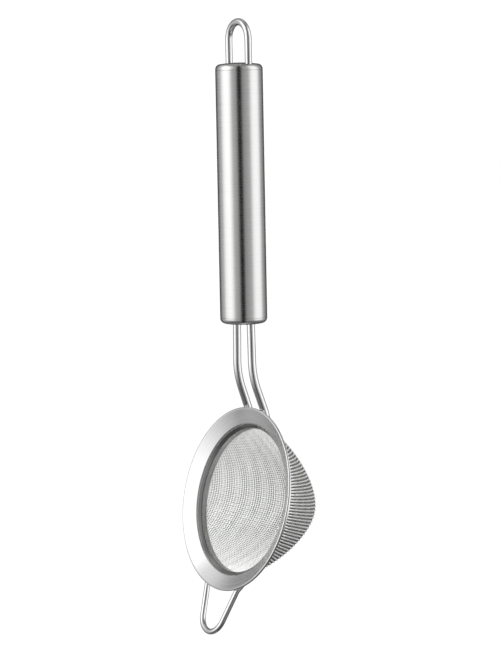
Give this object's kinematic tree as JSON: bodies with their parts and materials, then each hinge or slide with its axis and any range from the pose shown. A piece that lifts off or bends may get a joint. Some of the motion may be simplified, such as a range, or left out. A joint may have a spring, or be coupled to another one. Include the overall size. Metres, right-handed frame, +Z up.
{
  "type": "tea strainer",
  "caption": "Hand-held conical tea strainer: double woven mesh bowl in a dished rim, round tubular handle on wire stems, hanging loop and front rest loop.",
  "frame": {"origin": "highest point inside the hanging loop, where a hook bears", "axes": "+Z up along the handle, bowl opens towards -Y and bulges towards +Y, +X across the rim"},
  "size_m": [0.0712, 0.0498, 0.2343],
  "materials": {
    "handle_steel": "satin, brushed along the tube's circumference",
    "rim_steel": "satin, brushed around the rim",
    "wire_steel": "polished drawn wire",
    "mesh_steel": "bright woven wire",
    "weld_steel": "as welded, lightly cleaned"
  },
  "bodies": {
    "root": {"handle_tube": "handle_steel", "handle_plug_top": "handle_steel", "handle_plug_bottom": "handle_steel", "hanging_loop": "wire_steel", "stem_wire_left": "wire_steel", "stem_wire_right": "wire_steel", "stem_weld_beads": "weld_steel", "rim_flange": "rim_steel", "rim_inner_band": "rim_steel", "fine_mesh": "mesh_steel", "support_mesh": "mesh_steel", "front_rest_loop": "wire_steel", "rest_weld_beads": "weld_steel"}
  },
  "joints": []
}
